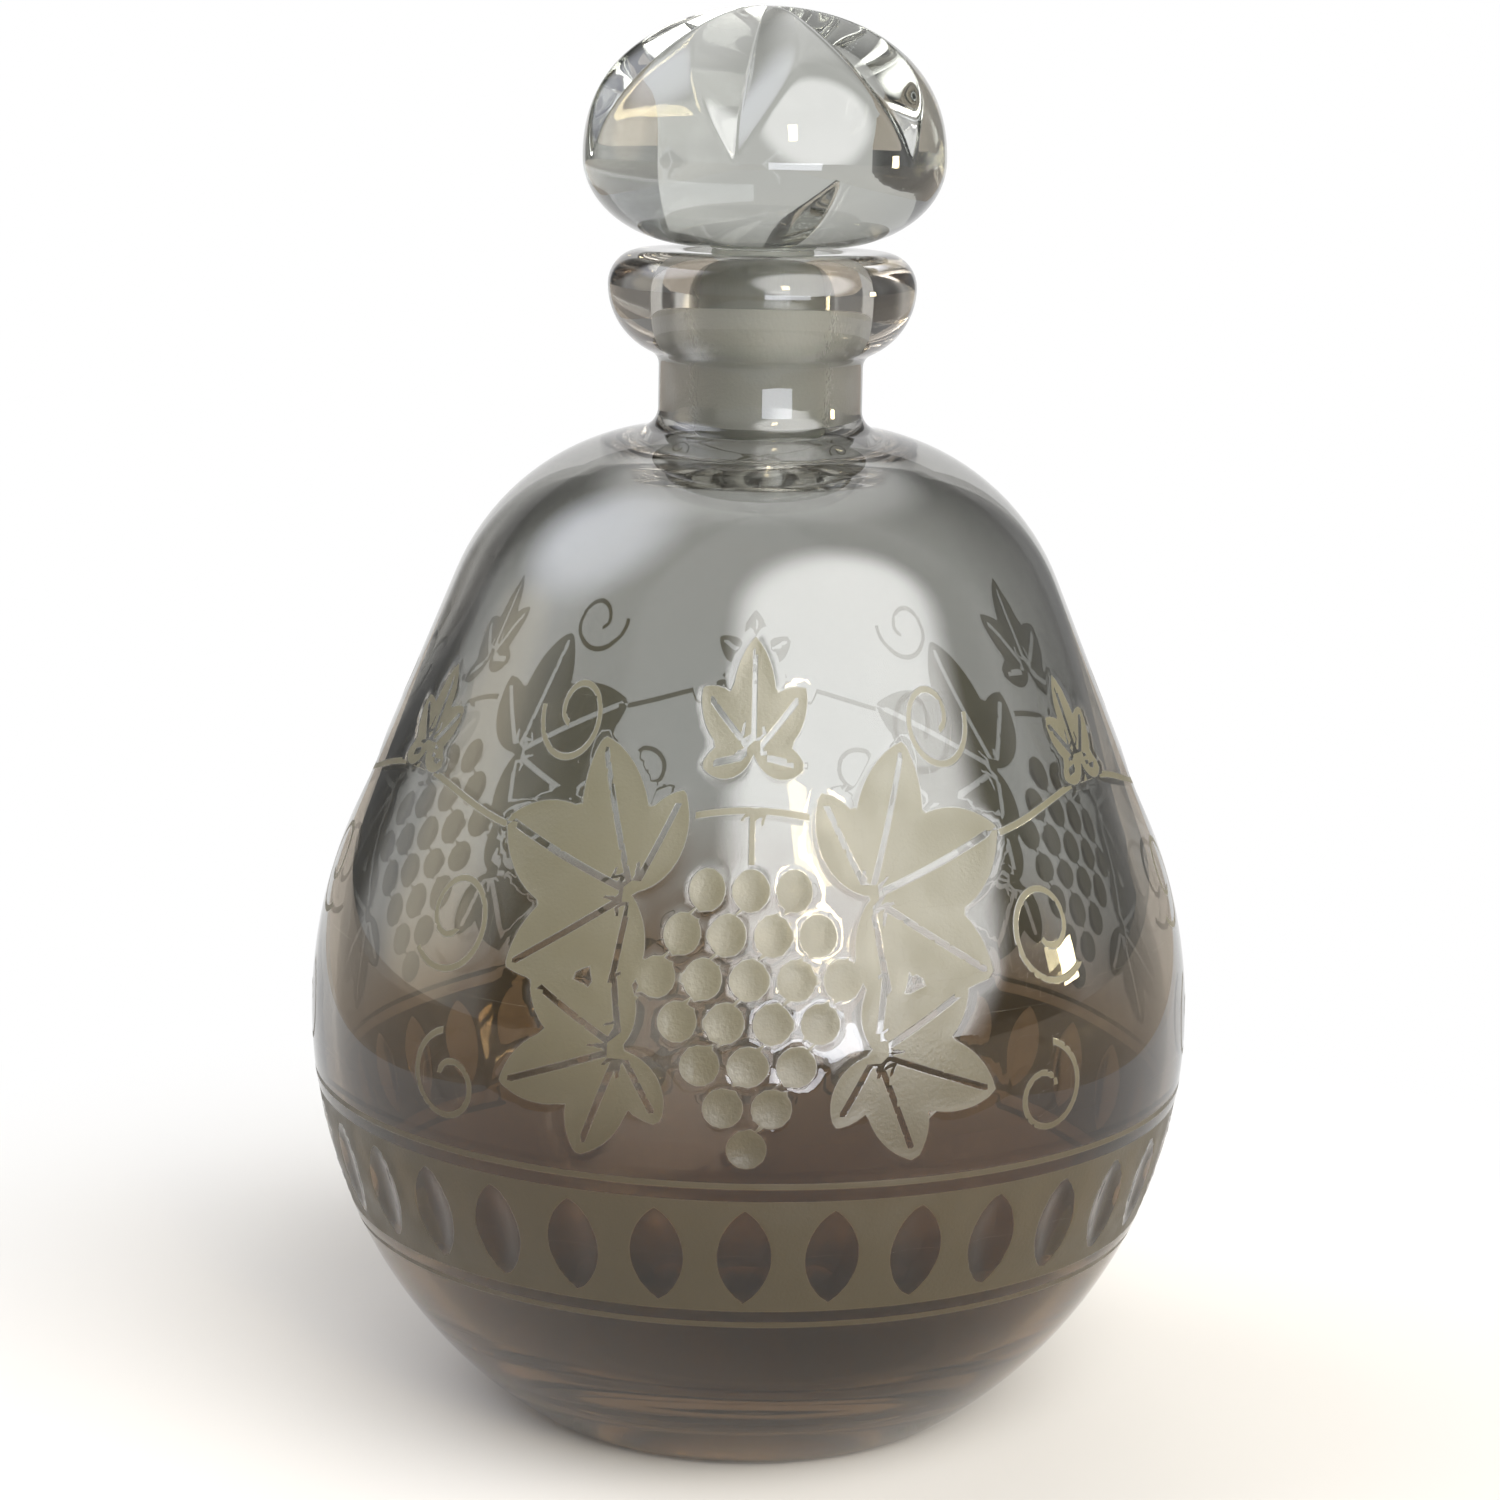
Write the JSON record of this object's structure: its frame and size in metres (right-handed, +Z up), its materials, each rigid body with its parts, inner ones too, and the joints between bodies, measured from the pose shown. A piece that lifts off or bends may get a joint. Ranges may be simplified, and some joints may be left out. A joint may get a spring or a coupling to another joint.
{
  "type": "glass decanter with stopper",
  "caption": "Pear-shaped clear glass decanter with a short collared neck and a lobed, solid glass stopper that lifts out of a ground-glass joint; holds and pours spirits.",
  "frame": {"origin": "centre of the foot, on the plane that the foot's ring stands on", "axes": "+Z up along the axis of the bottle and stopper, -Y towards the side with the main engraving, +X to that side's right"},
  "size_m": [0.13, 0.13, 0.2065],
  "materials": {
    "bottle_glass": "clear, fire-polished soda-lime glass; matt ground bore in the neck, wheel-engraved on the outside",
    "stopper_glass": "clear, polished solid glass with cut grooves in the crown and a matt ground plug"
  },
  "bodies": {
    "bottle": {"decanter_bottle": "bottle_glass"},
    "stopper": {"stopper": "stopper_glass"}
  },
  "joints": [
    {"name": "stopper_lift", "type": "slide", "parent": "bottle", "child": "stopper", "axis": [0, 0, 1], "range_m": [0, 0.07]}
  ]
}
